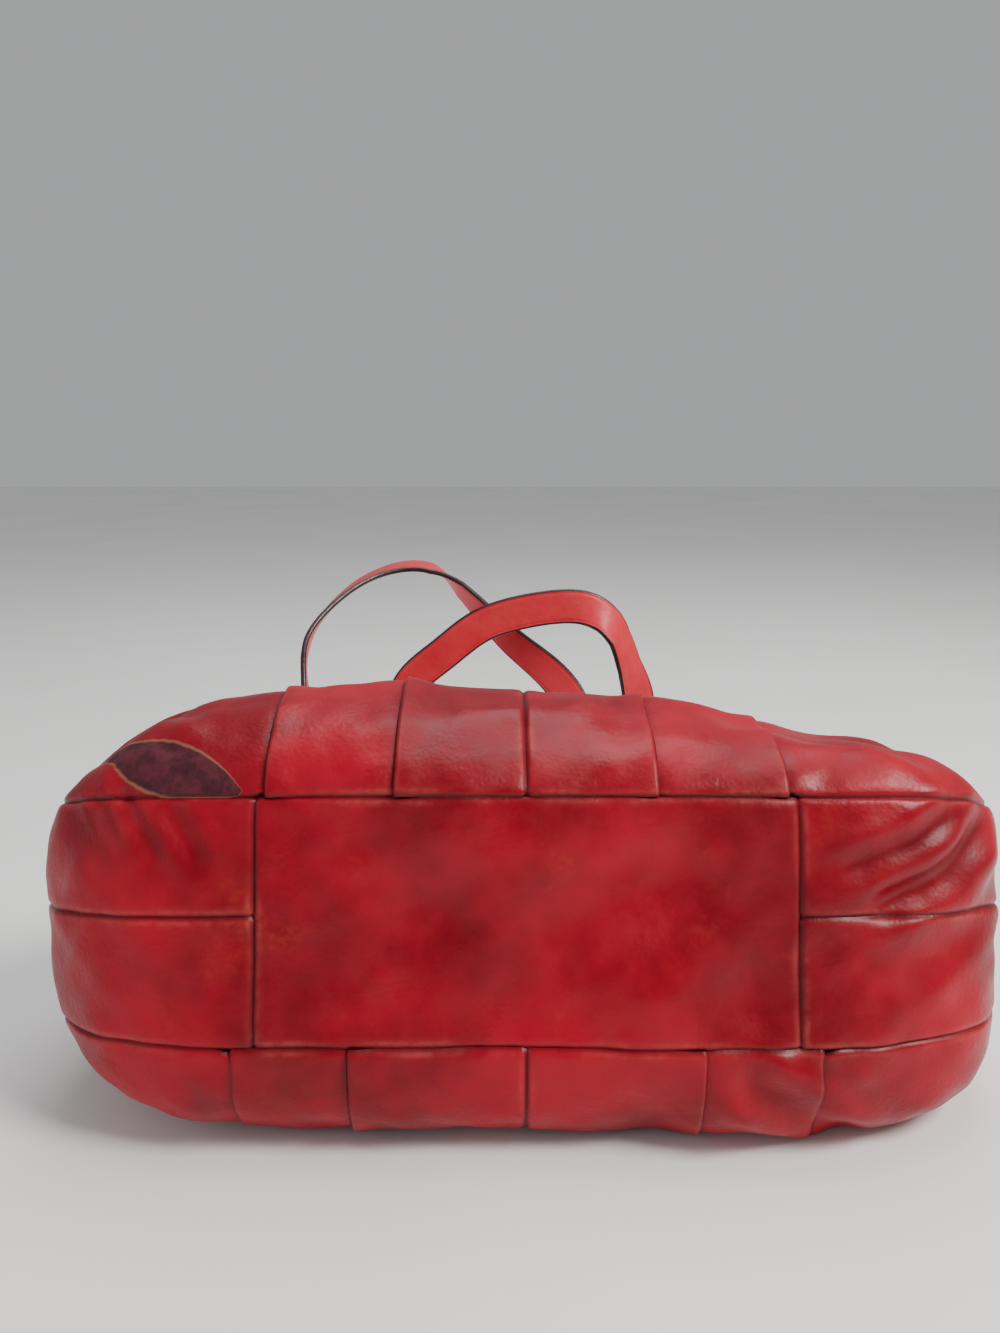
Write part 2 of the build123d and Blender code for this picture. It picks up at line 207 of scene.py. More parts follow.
# Folds: points along each one, width, depth (positive is a valley, negative a ridge).
FOLDS = [
    # right lower corner, a deep diagonal fold with ruching above it
    ([(84, 2, 44), (112, 8, 24), (145, 20, 5)], 8.0, 7.0),
    ([(100, 1, 46), (128, 9, 33), (160, 24, 16)], 5.0, -3.0),
    ([(128, 6, 50), (158, 16, 36), (186, 32, 20)], 5.0, 4.0),
    ([(150, 12, 52), (176, 24, 42), (200, 42, 28)], 4.0, 3.0),
    ([(118, 4, 52), (150, 14, 43), (190, 34, 33)], 4.0, -2.5),
    # left lower corner
    ([(-113, 4, 44), (-135, 14, 24), (-160, 30, 4)], 5.0, 3.5),
    ([(-120, 5, 54), (-150, 18, 40), (-180, 36, 30)], 7.0, 2.0),
    # right gusset, diagonal folds running in from the upper end
    ([(206, 52, 140), (178, 32, 118), (140, 14, 104)], 9.0, 5.0),
    ([(190, 40, 146), (160, 24, 132), (124, 12, 122)], 6.0, 3.5),
    ([(212, 56, 112), (186, 36, 92), (150, 16, 76)], 9.0, 4.0),
    ([(200, 46, 126), (172, 28, 108), (136, 12, 92)], 6.0, -3.0),
    ([(176, 30, 76), (160, 20, 62), (140, 12, 56)], 6.0, 3.0),
    # left gusset, short creases under the worn patch
    ([(-186, 50, 150), (-172, 36, 138), (-160, 28, 120)], 4.0, 3.0),
    ([(-172, 38, 152), (-158, 28, 136), (-150, 22, 122)], 3.5, 2.5),
    ([(-152, 26, 152), (-140, 18, 136), (-134, 14, 124)], 4.5, 2.5),
    ([(-196, 50, 112), (-176, 32, 96), (-156, 20, 70)], 9.0, 2.5),
    # front face, behind the upper seam
    ([(-186, 58, 152), (-176, 78, 162), (-150, 86, 176)], 6.0, 3.0),
    ([(-178, 62, 158), (-160, 66, 167), (-132, 48, 166)], 6.0, -2.5),
    ([(180, 48, 150), (150, 60, 166), (110, 62, 176)], 8.0, 3.0),
    ([(204, 60, 146), (180, 90, 150), (150, 130, 138)], 9.0, 4.0),
    ([(-90, 120, 176), (-96, 165, 138), (-100, 205, 92)], 12.0, 4.0),
    ([(28, 130, 172), (34, 170, 134), (30, 215, 86)], 10.0, 4.0),
    ([(84, 130, 164), (82, 170, 130), (92, 210, 86)], 9.0, 3.5),
    ([(-34, 130, 174), (-30, 175, 130), (-36, 214, 86)], 9.0, 3.0),
    # sides towards the mouth
    ([(-205, 95, 90), (-190, 140, 70), (-168, 200, 44)], 12.0, 6.0),
    ([(206, 95, 88), (190, 140, 68), (168, 200, 44)], 12.0, 6.0),
]
# Dents: centre, radius, depth.
DENTS = [
    ((-40, 12, 108), 20, 4.4), ((-14, 10, 92), 20, -2.4), ((14, 12, 100), 20, 4.4), ((40, 8, 78), 20, -2.6),
    ((62, 14, 118), 20, 3.8), ((76, 10, 92), 16, -2.2), ((-74, 12, 108), 18, -2.2), ((-52, 4, 68), 18, 2.4),
    ((24, 3, 64), 16, 2.4), ((92, 6, 70), 14, 2.4),
    ((-62, 14, 118), 34, 3.6), ((-10, 8, 84), 30, 3.0), ((48, 14, 112), 38, 4.4), ((92, 6, 78), 26, 3.0),
    ((-92, 8, 76), 24, 2.2), ((-30, 18, 132), 22, -2.0), ((18, 20, 140), 20, -1.8),
    ((84, 18, 132), 20, -1.6),
    ((164, 26, 92), 30, 4.0), ((-172, 34, 92), 34, -3.0), ((-60, 40, 176), 36, -2.0),
    ((96, 40, 168), 30, 2.5),
    ((0, 10, 26), 30, 2.0), ((-70, 10, 24), 28, 2.4), ((60, 6, 22), 24, 3.0), ((-205, 80, 60), 30, -2.0),
    ((130, 100, 172), 30, 3.0), ((-130, 120, 166), 34, 3.0), ((0, 170, 132), 44, 6.0),
    ((0, 90, 186), 40, -1.5),
]


def dents(p):
    """How far the leather is pushed in (negative) or out at points of the wall."""
    fade = 1 - smooth((p[..., 1] - 188) / 36)
    d = 1.7 * soft_noise(p, 130, 0) + 0.75 * soft_noise(p, 48, 12) + 0.28 * soft_noise(p, 20, 24)
    for points, width, depth in FOLDS:
        away, where = along(p, points)
        ends = smooth(where * 4 + 0.15) * smooth((1 - where) * 4 + 0.15)
        r = away / width
        d = d - depth * ends * (np.exp(-r * r) - 0.35 * np.exp(-((r - 1.8) / 0.8) ** 2))
    for centre, radius, depth in DENTS:
        r = np.linalg.norm(p - np.array(centre, float), axis=-1) / radius
        d = d - depth * np.exp(-r * r)
    return d * fade


def painted_fold_shade(p):
    """Painted shade held in the folds, 0 to 1."""
    dark = 0.0
    for points, width, depth in FOLDS:
        if depth > 0:
            away, where = along(p, points)
            ends = smooth(where * 4) * smooth((1 - where) * 4)
            dark = dark + depth / 6 * ends * np.exp(-(away / (width * 0.6)) ** 2)
    return np.clip(dark, 0, 1)


# ------------------------------------------------------------------ making meshes
def mesh_object(name, points, faces, material, body, layers=None, marks=None):
    mesh = bpy.data.meshes.new(name)
    mesh.from_pydata([tuple(p) for p in points], [], faces)
    mesh.update()
    for key, values in (layers or {}).items():
        mesh.attributes.new(key, "FLOAT", "POINT").data.foreach_set("value", np.asarray(values, np.float32))
    materials = material if isinstance(material, (list, tuple)) else [material]
    for m in materials:
        mesh.materials.append(m)
    if marks is not None:
        mesh.polygons.foreach_set("material_index", np.asarray(marks, np.int32))
    mesh.polygons.foreach_set("use_smooth", [True] * len(mesh.polygons))
    obj = bpy.data.objects.new(name, mesh)
    bpy.context.scene.collection.objects.link(obj)
    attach(obj, body)
    return obj


def grid_faces(rows, cols, close_cols=False, flip=False, start=0):
    faces = []
    last = cols if close_cols else cols - 1
    for i in range(rows - 1):
        for j in range(last):
            k = (j + 1) % cols
            quad = (i * cols + j, i * cols + k, (i + 1) * cols + k, (i + 1) * cols + j)
            quad = tuple(q + start for q in quad)
            faces.append(quad[::-1] if flip else quad)
    return faces


def spacing(total, step, fine=(0.0, 0.7, 1.5, 2.4, 3.6, 5.4, 8.0), ends=(True, True)):
    """Fractions from 0 to 1, crowded near the ends that are sewn."""
    head = [f for f in fine] if ends[0] else [0.0]
    tail = [total - f for f in fine[::-1]] if ends[1] else [total]
    a, b = head[-1], tail[0]
    n = max(2, int(round((b - a) / step)))
    middle = [a + (b - a) * i / n for i in range(1, n)]
    return np.array(head + middle + tail) / total


def resample(points, normals, fractions):
    """Each column's dense path cut at the given fractions of its length."""
    out_p, out_n = [], []
    for p, n in zip(points, normals):
        run = np.concatenate([[0], np.cumsum(np.linalg.norm(np.diff(p, axis=0), axis=1))])
        at = fractions * run[-1]
        out_p.append(np.stack([np.interp(at, run, p[:, i]) for i in range(3)], -1))
        out_n.append(np.stack([np.interp(at, run, n[:, i]) for i in range(3)], -1))
    return np.array(out_p), unit(np.array(out_n))


def distances(p):
    """Distance of each grid point from the four edges of its panel."""
    d0 = np.linalg.norm(np.diff(p, axis=0), axis=-1)
    d1 = np.linalg.norm(np.diff(p, axis=1), axis=-1)
    zero = np.zeros((1, p.shape[1]))
    a = np.concatenate([zero, np.cumsum(d0, axis=0)])
    zero = np.zeros((p.shape[0], 1))
    b = np.concatenate([zero, np.cumsum(d1, axis=1)], axis=1)
    return a, a[-1:] - a, b, b[:, -1:] - b


def seam_shape(d):
    """Leather rolling down into a sewn seam."""
    return -1.15 * np.exp(-(d / 1.1) ** 2) + 0.22 * np.exp(-((d - 4.5) / 3.5) ** 2)


DENSE = (np.linspace(0, 1, 420) ** 2.4) * LENGTH


def panel(name, p, n, sewn, material, pleat=None):
    """One leather panel from a grid of wall points; rows run along y, columns across.

    sewn says which of the four edges (left, right, base, mouth) are seams. pleat gives, for the left and
    right edge, +1 where it laps over its neighbour, -1 where it tucks under, 0 where it is a plain seam.
    """
    left, right, start, end = distances(p)
    lap_height = 0.5 if name.startswith("back_side") else 1.5
    seams = np.full(left.shape, 1e3)
    for edge, flag in zip((left, right, start, end), sewn):
        if flag is True:
            seams = np.minimum(seams, edge)
    d = dents(p)
    rub = np.zeros(d.shape)
    fade = smooth(end / 30)
    for edge, flag, lap in ((left, sewn[0], pleat and pleat[0]), (right, sewn[1], pleat and pleat[1])):
        if not flag:
            continue
        if lap == 1:
            lift = lap_height * (0.35 + 0.65 * fade)
            d = d + lift * smooth(1 - (edge - 1.0) / 12) * smooth(edge / 1.6) - 0.9 * (1 - smooth(edge / 1.6))
            rub = np.maximum(rub, np.exp(-((edge - 1.6) / 1.2) ** 2) * 0.7)
        elif lap == -1:
            d = d - 1.2 * smooth(1 - edge / 7)
        else:
            d = d + seam_shape(edge)
            rub = np.maximum(rub, np.exp(-((edge - 2.2) / 1.2) ** 2) * 0.8)
    if sewn[2]:
        d = d + seam_shape(start)
        rub = np.maximum(rub, np.exp(-((start - 2.2) / 1.2) ** 2))
    if sewn[3] is True:
        d = d + seam_shape(end)
        rub = np.maximum(rub, np.exp(-((end - 2.2) / 1.2) ** 2))
    q = p + n * d[..., None]
    if pleat:
        sideways = unit(np.gradient(p, axis=0))
        for edge, lap, sign in ((left, pleat[0], -1), (right, pleat[1], 1)):
            if lap == 1:
                q = q + sideways * (sign * 1.6 * smooth(1 - edge / 12) * fade)[..., None]
            elif lap == -1:
                q = q + sideways * (sign * 2.0 * smooth(1 - edge / 12))[..., None]
    q[..., 2] = np.maximum(q[..., 2], 0.0)
    if sewn[3] == "mouth":
        roll = ((0.5, 0.35), (1.3, 0.0), (1.6, -1.2), (1.7, -6.0))
        roll_in = [q[:, -1] - n[:, -1] * inward + np.array([0, on, 0]) for inward, on in roll]
        q = np.concatenate([q] + [r[:, None] for r in roll_in], axis=1)
        grow = [(0, 0), (0, len(roll_in))]
        rub = np.pad(rub, grow)
        p = np.pad(p, grow + [(0, 0)], mode="edge")
        rub[:, -5:-2] = 0.7
    cols, rows = q.shape[:2]
    line = 0.85 * np.exp(-(seams / 1.1) ** 2)
    # Painted shade in the folds, joined with the darker seam lines.
    dark = np.maximum(painted_fold_shade(p), np.pad(line, [(0, 0), (0, rows - line.shape[1])], mode="edge"))
    # Painted shadow along the strip that lies under each lapping pleat.
    under = np.zeros((cols, rows))
    if pleat:
        for edge, lap in ((left, pleat[0]), (right, pleat[1])):
            if lap == -1:
                shade = np.exp(-(edge / 3.0) ** 2) * (0.9 if lap_height > 1 else 0.35)
                shade = np.pad(shade, [(0, 0), (0, rows - shade.shape[1])], mode="edge")
                under = np.maximum(under, shade)
    dark = np.maximum(dark, under)
    middle = (cols // 2, min(rows // 2, p.shape[1] - 2))
    a, b = q[middle[0] + 1, middle[1]] - q[middle], q[middle[0], middle[1] + 1] - q[middle]
    flip = np.dot(np.cross(b, a), n[middle[0], min(middle[1], n.shape[1] - 1)]) < 0
    faces = grid_faces(cols, rows, flip=bool(flip))
    layers = {"rub": rub.ravel(), "dark": dark.ravel(), "patch": patch(p).ravel()}
    obj = mesh_object(name + "_leather", metres(q.reshape(-1, 3)), faces, material, "bag", layers)
    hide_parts(name)
    return obj


def patch(p):
    """Field of the dark worn leaf-shaped patch at the upper left, above zero inside it."""
    spine = [(-186, 58, 155), (-172, 54, 158), (-154, 42, 159), (-136, 32, 158), (-120, 26, 155)]
    away, where = along(p, spine)
    width = 13.0 * np.sin(np.pi * np.clip(where * 0.96 + 0.02, 0, 1)) ** 0.75 + 0.5
    over = (p[..., 2] - plane_z(UPPER, p[..., 1])) / 6.0
    return np.clip(np.minimum(1.0 - away / width, over + 0.02), -1.0, 1.0)


# ------------------------------------------------------------------ materials
def material(name):
    m = bpy.data.materials.new(name)
    m.use_nodes = True
    tree = m.node_tree
    tree.nodes.clear()
    out = tree.nodes.new("ShaderNodeOutputMaterial")
    shader = tree.nodes.new("ShaderNodeBsdfPrincipled")
    tree.links.new(shader.outputs[0], out.inputs[0])
    coords = tree.nodes.new("ShaderNodeTexCoord").outputs["Object"]
    return m, tree, shader, coords


def noise(tree, coords, scale, detail=4.0, rough=0.55, stretch=None):
    if stretch is not None:
        mapping = tree.nodes.new("ShaderNodeMapping")
        mapping.inputs["Scale"].default_value = stretch
        tree.links.new(coords, mapping.inputs["Vector"])
        coords = mapping.outputs[0]
    node = tree.nodes.new("ShaderNodeTexNoise")
    node.inputs["Scale"].default_value = scale
    node.inputs["Detail"].default_value = detail
    node.inputs["Roughness"].default_value = rough
    tree.links.new(coords, node.inputs["Vector"])
    return node.outputs["Fac"]


def ramp(tree, value, low, high, to=(0.0, 1.0)):
    node = tree.nodes.new("ShaderNodeMapRange")
    node.interpolation_type = "SMOOTHSTEP"
    node.inputs["From Min"].default_value = low
    node.inputs["From Max"].default_value = high
    node.inputs["To Min"].default_value = to[0]
    node.inputs["To Max"].default_value = to[1]
    tree.links.new(value, node.inputs["Value"])
    return node.outputs[0]


def maths(tree, kind, a, b):
    node = tree.nodes.new("ShaderNodeMath")
    node.operation = kind
    for i, v in enumerate((a, b)):
        if isinstance(v, (int, float)):
            node.inputs[i].default_value = v
        else:
            tree.links.new(v, node.inputs[i])
    return node.outputs[0]


def mix(tree, factor, a, b):
    node = tree.nodes.new("ShaderNodeMix")
    node.data_type = "RGBA"
    for socket, v in ((node.inputs[0], factor), (node.inputs[6], a), (node.inputs[7], b)):
        if isinstance(v, tuple):
            socket.default_value = (*v, 1.0)
        elif isinstance(v, (int, float)):
            socket.default_value = v
        else:
            tree.links.new(v, socket)
    return node.outputs[2]


def bump(tree, height, strength, distance, before=None):
    node = tree.nodes.new("ShaderNodeBump")
    node.inputs["Strength"].default_value = strength
    node.inputs["Distance"].default_value = distance
    tree.links.new(height, node.inputs["Height"])
    if before is not None:
        tree.links.new(before, node.inputs["Normal"])
    return node.outputs[0]


def mark(tree, name):
    node = tree.nodes.new("ShaderNodeAttribute")
    node.attribute_name = name
    return node.outputs["Fac"]


def cells(tree, coords, scale, feature="F1"):
    node = tree.nodes.new("ShaderNodeTexVoronoi")
    node.feature = feature
    node.inputs["Scale"].default_value = scale
    tree.links.new(coords, node.inputs["Vector"])
    return node.outputs["Distance"]


def leather(name, base, deep, pale, blotch_and_sheen_tint, worn=True, grain=520.0, grain_depth=0.00022, rough=(0.30, 0.50)):
    m, t, s, co = material(name)
    broad = ramp(t, noise(t, co, 14.0, 3.0), 0.36, 0.66)
    fine = ramp(t, noise(t, co, 90.0, 5.0, 0.6), 0.35, 0.7)
    colour = mix(t, broad, deep, base)
    colour = mix(t, maths(t, "MULTIPLY", fine, 0.14), colour, pale)
    # Random blotches of a fifth colour; on the bag leather it is a lighter warm orange, a painted sheen.
    blotch = maths(t, "MULTIPLY", ramp(t, noise(t, co, 26.0, 6.0, 0.62), 0.56, 0.72),
                   ramp(t, noise(t, co, 240.0, 4.0, 0.7), 0.42, 0.6))
    colour = mix(t, maths(t, "MULTIPLY", blotch, 0.28), colour, blotch_and_sheen_tint)
    if worn:
        ragged = ramp(t, noise(t, co, 170.0, 4.0, 0.7), 0.3, 0.62, (0.15, 1.0))
        patchy = ramp(t, noise(t, co, 22.0, 3.0), 0.42, 0.62)
        rub = maths(t, "MULTIPLY", maths(t, "MULTIPLY", mark(t, "rub"), ragged), patchy)
        colour = mix(t, maths(t, "MULTIPLY", rub, 0.3), colour, (0.55, 0.11, 0.09))
        # Painted shade in folds and under lapped pleats, with the darker seams, from the 'dark' mark.
        colour = mix(t, maths(t, "MULTIPLY", mark(t, "dark"), 0.8), colour, (0.035, 0.0008, 0.003))
        spot = ramp(t, noise(t, co, 120.0, 6.0, 0.7), 0.34, 0.62)
        purple = mix(t, spot, (0.035, 0.005, 0.010), (0.085, 0.012, 0.02))
        leaf = maths(t, "ADD", mark(t, "patch"), maths(t, "MULTIPLY", noise(t, co, 260.0, 4.0, 0.6), 0.12))
        inside = ramp(t, leaf, 0.04, 0.12)
        rim = maths(t, "MULTIPLY", inside, ramp(t, leaf, 0.12, 0.22, (1.0, 0.0)))
        colour = mix(t, inside, colour, purple)
        colour = mix(t, maths(t, "MULTIPLY", rim, 0.45), colour, (0.42, 0.16, 0.08))
    t.links.new(colour, s.inputs["Base Color"])
    shine = ramp(t, noise(t, co, 45.0, 4.0, 0.6), 0.3, 0.7, rough)
    if worn:
        shine = maths(t, "ADD", shine, maths(t, "MULTIPLY", inside, 0.14))
    t.links.new(shine, s.inputs["Roughness"])
    pebble = cells(t, co, grain, "SMOOTH_F1")
    normal = bump(t, noise(t, co, 1500.0, 2.0), 0.25, 0.00008)
    normal = bump(t, pebble, 0.55, grain_depth, normal)
    normal = bump(t, noise(t, co, 130.0, 6.0, 0.62), 0.35, 0.0012, normal)
    t.links.new(normal, s.inputs["Normal"])
    s.inputs["Specular IOR Level"].default_value = 0.2
    s.inputs["Coat Weight"].default_value = 0.06
    s.inputs["Coat Roughness"].default_value = 0.28
    return m


# The bag leather's fifth colour is a painted warm sheen laid on in blotches.
BAG = leather("bag_leather_worn", (0.34, 0.0003, 0.013), (0.17, 0.0002, 0.006), (0.46, 0.005, 0.024),
              (0.44, 0.035, 0.012))
STRAP = leather("handle_leather_smooth", (0.62, 0.03, 0.045), (0.50, 0.018, 0.03), (0.75, 0.08, 0.09),
                (0.5, 0.06, 0.04), worn=False, grain=900.0, grain_depth=0.00008, rough=(0.34, 0.46))
TABS = leather("tab_leather_smooth", (0.36, 0.006, 0.012), (0.24, 0.003, 0.008), (0.5, 0.03, 0.03),
               (0.4, 0.06, 0.03), worn=False, grain=900.0, grain_depth=0.00008, rough=(0.34, 0.46))
FACING = leather("facing_leather_matt", (0.26, 0.006, 0.010), (0.18, 0.003, 0.006), (0.34, 0.02, 0.02),
                 (0.3, 0.04, 0.03), worn=False, rough=(0.5, 0.65))


def edge_paint():
    m, t, s, co = material("edge_paint_burgundy")
    wear = ramp(t, noise(t, co, 260.0, 5.0, 0.7), 0.58, 0.75)
    t.links.new(mix(t, wear, (0.022, 0.004, 0.007), (0.16, 0.02, 0.025)), s.inputs["Base Color"])
    t.links.new(ramp(t, noise(t, co, 120.0), 0.3, 0.7, (0.25, 0.45)), s.inputs["Roughness"])
    t.links.new(bump(t, noise(t, co, 700.0, 3.0), 0.4, 0.0001), s.inputs["Normal"])
    return m


def cloth():
    m, t, s, co = material("lining_woven_cotton")
    threads = []
    for direction in ("X", "Z"):
        wave = t.nodes.new("ShaderNodeTexWave")
        wave.bands_direction = direction
        wave.inputs["Scale"].default_value = 520.0
        wave.inputs["Distortion"].default_value = 0.6
        t.links.new(co, wave.inputs["Vector"])
        threads.append(wave.outputs["Fac"])
    weave = maths(t, "ADD", threads[0], threads[1])
    tone = ramp(t, noise(t, co, 40.0, 4.0), 0.3, 0.7)
    colour = mix(t, tone, (0.085, 0.012, 0.02), (0.12, 0.02, 0.03))
    colour = mix(t, maths(t, "MULTIPLY", weave, 0.18), colour, (0.22, 0.06, 0.07))
    t.links.new(colour, s.inputs["Base Color"])
    t.links.new(ramp(t, noise(t, co, 300.0), 0.3, 0.7, (0.75, 0.9)), s.inputs["Roughness"])
    t.links.new(bump(t, weave, 0.4, 0.0002), s.inputs["Normal"])
    s.inputs["Sheen Weight"].default_value = 0.25
    return m


def brass():
    m, t, s, co = material("antique_brass")
    tarnish = ramp(t, noise(t, co, 180.0, 6.0, 0.65), 0.4, 0.68)
    t.links.new(mix(t, tarnish, (0.52, 0.38, 0.20), (0.17, 0.11, 0.06)), s.inputs["Base Color"])
    scratch = noise(t, co, 900.0, 3.0, 0.6, (1.0, 0.12, 1.0))
    rough = maths(t, "ADD", ramp(t, scratch, 0.35, 0.65, (0.22, 0.36)), maths(t, "MULTIPLY", tarnish, 0.22))
    t.links.new(rough, s.inputs["Roughness"])
    t.links.new(bump(t, scratch, 0.25, 0.00005), s.inputs["Normal"])
    s.inputs["Metallic"].default_value = 1.0
    return m


def board_stuff():
    m, t, s, co = material("fibre_board")
    fibres = noise(t, co, 300.0, 5.0)
    t.links.new(mix(t, fibres, (0.05, 0.04, 0.035), (0.12, 0.1, 0.085)), s.inputs["Base Color"])
    t.links.new(ramp(t, noise(t, co, 500.0), 0.3, 0.7, (0.7, 0.9)), s.inputs["Roughness"])
    t.links.new(bump(t, noise(t, co, 900.0), 0.3, 0.0001), s.inputs["Normal"])
    return m


EDGE, CLOTH, BRASS, BOARD = edge_paint(), cloth(), brass(), board_stuff()


# ------------------------------------------------------------------ leather panels
def face_paths(face, where, side, columns):
    """Dense paths from the base seam to the mouth for the columns of one front or back panel."""
    pleats = (FRONT_PLEATS if face > 0 else BACK_PLEATS) + (None,)
    line = UPPER if face > 0 else LOWER
    inner, outer = pleats[where], pleats[where + 1]
    points, normals = [], []
    seam = turn_at_height(DENSE, side, lambda y: plane_z(line, y))
    for s in columns if side > 0 else 1 - columns:
        if outer is not None:
            turn = turn_at_x(DENSE, np.full_like(DENSE, side * max(inner + s * (outer - inner), 1e-3)), face)
            p = wall(DENSE, turn)
            inside = (p[:, 2] - plane_z(line, p[:, 1])) * face > 0
        else:
            edge = turn_at_x(DENSE, np.full_like(DENSE, side * inner), face)
            turn = edge + s * (seam - edge)
            p = wall(DENSE, turn)
            inside = (edge - seam) * face * side > 0
        first = int(np.argmax(inside))
        n = wall_normal(DENSE, turn)
        points.append(p[max(first - 1, 0):])
        normals.append(n[max(first - 1, 0):])
    return points, normals


def face_panel(face, where, side):
    place = ("centre", "side", "outer")[where]
    name = f"{'front' if face > 0 else 'back'}_{place}_{'left' if side < 0 else 'right'}"
    pleats = FRONT_PLEATS if face > 0 else BACK_PLEATS
    across = (pleats + (pleats[-1] + 130,))[where + 1] - pleats[where]
    columns = spacing(across, 2.6)
    rows = spacing(300.0, 2.6, ends=(True, False))
    points, normals = face_paths(face, where, side, columns)
    p, n = resample(points, normals, rows)
    outer_edge = 1 if where < 2 else 0
    inner_edge = -1 if where > 0 else 0
    laps = (inner_edge, outer_edge) if side > 0 else (outer_edge, inner_edge)
    return panel(name, p, n, (True, True, True, "mouth"), BAG, pleat=laps)


def between_seams(v):
    return lambda y: (1 - v) * plane_z(LOWER, y) + v * plane_z(UPPER, y)


CAP_NORMAL = unit(np.array([0.0, -1.0, LEAN]))


def gusset(side, half):
    name = f"gusset_{'left' if side < 0 else 'right'}_{half}"
    vs = spacing(52.0, 2.2) * 0.5 + (0.5 if half == "front" else 0.0)
    points, normals = [], []
    for v in vs:
        turn = turn_at_height(DENSE, side, between_seams(v))
        p, n = wall(DENSE, turn), wall_normal(DENSE, turn)
        reach = np.abs(p[:, 0])
        if reach[0] > BASE_SEAM:
            xs = np.linspace(BASE_SEAM, reach[0], 6)[:-1] * side
            flat = np.stack([xs, np.full(5, p[0, 1]), np.full(5, p[0, 2])], -1)
            p = np.concatenate([flat, p])
            n = np.concatenate([np.tile(CAP_NORMAL, (5, 1)), n])
        else:
            first = int(np.argmax(reach >= BASE_SEAM))
            p, n = p[max(first - 1, 0):], n[max(first - 1, 0):]
        points.append(p)
        normals.append(n)
    rows = spacing(300.0, 2.4, ends=(True, False))
    p, n = resample(points, normals, rows)
    return panel(name, p, n, (True, True, True, "mouth"), BAG)


def base_grid(xs, vs):
    """Points and normals of the base at columns xs and seam-to-seam fractions vs."""
    near = (np.linspace(0, 1, 200) ** 2.2) * 34.0
    p = np.zeros((len(xs), len(vs), 3))
    n = np.zeros_like(p)
    for j, v in enumerate(vs):
        for side in (-1, 1):
            turn = turn_at_height(near, side, between_seams(v))
            w, m = wall(near, turn), wall_normal(near, turn)
            reach = np.abs(w[:, 0])
            for i, x in enumerate(xs):
                if (x >= 0) != (side > 0):
                    continue
                if abs(x) <= reach[0]:
                    p[i, j], n[i, j] = (x, w[0, 1], w[0, 2]), CAP_NORMAL
                else:
                    p[i, j] = [x] + [np.interp(abs(x), reach, w[:, k]) for k in (1, 2)]
                    n[i, j] = [np.interp(abs(x), reach, m[:, k]) for k in range(3)]
    return p, unit(n)


def base_panel():
    xs = (spacing(2 * BASE_SEAM, 2.2) * 2 - 1) * BASE_SEAM
    vs = spacing(104.0, 2.2)
    p, n = base_grid(xs, vs)
    panel("base_panel", p, n, (True, True, True, True), BAG)
    xs = np.linspace(-103, 103, 60)
    p, n = base_grid(xs, np.linspace(0.1, 0.9, 26))
    q = p + n * (dents(p) - 2.8)[..., None]
    board = mesh_object("base_board_bent", metres(q.reshape(-1, 3)), grid_faces(60, 26), BOARD, "bag")
    thick = board.modifiers.new("thickness", "SOLIDIFY")
    thick.thickness = 0.0009
    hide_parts("base_board")


base_panel()
for side in (-1, 1):
    for half in ("front", "back"):
        gusset(side, half)
    for where in range(3):
        face_panel(1, where, side)
        face_panel(-1, where, side)


# ------------------------------------------------------------------ facing and lining
# Rows of a facing from the mouth inwards: (y, inset), rolled over at both edges.
FACING_PROFILE = (
    (269.4, 2.1), (269.0, 2.8), (268.0, 3.1), (265.0, 3.2), (260.0, 3.2), (252.0, 3.2),
    (244.0, 3.2), (238.0, 3.2), (234.0, 3.1), (232.6, 2.8), (232.0, 2.3), (232.0, 1.9),
)


def inside_layers():
    for name, turns in (("front", (0.0, np.pi)), ("back", (np.pi, 2 * np.pi))):
        turn = np.linspace(*turns, 160)
        p = np.stack([wall(y, turn, inset) for y, inset in FACING_PROFILE], 1)
        points = metres(p.reshape(-1, 3))
        obj = mesh_object(f"facing_{name}_leather", points, grid_faces(160, 12), FACING, "bag")
        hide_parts(f"facing_{name}")
    turn = np.linspace(0, 2 * np.pi, 200, endpoint=False)
    rows = 4.0 + np.concatenate([[0, 1, 2.5, 5, 8, 12], np.linspace(17, 232, 66), [235, 236.5, 237.5, 238]])
    p = np.stack([wall(y, turn, 4.3) for y in rows])
    n = np.stack([wall_normal(np.full_like(turn, y), turn) for y in rows])
    slack = 0.5 * soft_noise(p, 60, 5) - 0.5
    d = dents(p) + slack * (1 - smooth((p[..., 1] - 205) / 25))
    centre = p[0].mean(axis=0)
    cap = [centre + (p[0] - centre) * k for k in (0.02, 0.15, 0.3, 0.45, 0.6, 0.75, 0.88, 0.96)]
    cap_p = np.stack(cap)
    cap_d = dents(cap_p) - 1.2
    q = np.concatenate([cap_p + CAP_NORMAL * cap_d[..., None], p + n * d[..., None]])
    q[..., 2] = np.maximum(q[..., 2], 4.0)
    count = len(q)
    faces = grid_faces(count, 200, close_cols=True)
    faces.append(tuple(range(200)))
    obj = mesh_object("lining_cloth", metres(q.reshape(-1, 3)), faces, CLOTH, "bag")
    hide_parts("lining")


inside_layers()


# ------------------------------------------------------------------ straps
def strap_outline(half, thick, groove):
    """Half outline points (across, out) and whether each following segment is painted edge."""
    r = thick * 0.8
    edge = half - r
    top = [(-edge, thick)]
    if groove:
        g = half - 2.6
        top += [(-g - 0.45, thick), (-g, thick - groove), (-g + 0.45, thick)]
    top += [(-half * 0.62, thick), (-half * 0.3, thick + 0.05), (0, thick + 0.08)]
    top += [(-x, z) for x, z in top[::-1][1:]]
    curve = [(edge + r * math.sin(a), thick * math.cos(a)) for a in np.linspace(0, math.pi, 9)[1:-1]]
    ring = [(x, z, False) for x, z in top[:-1]] + [(*top[-1], True)]
    ring += [(x, z, True) for x, z in curve]
    ring += [(-x, -z, False) for x, z in top[:-1]] + [(-top[-1][0], -top[-1][1], True)]
    ring += [(-x, -z, True) for x, z in curve]
    return ring


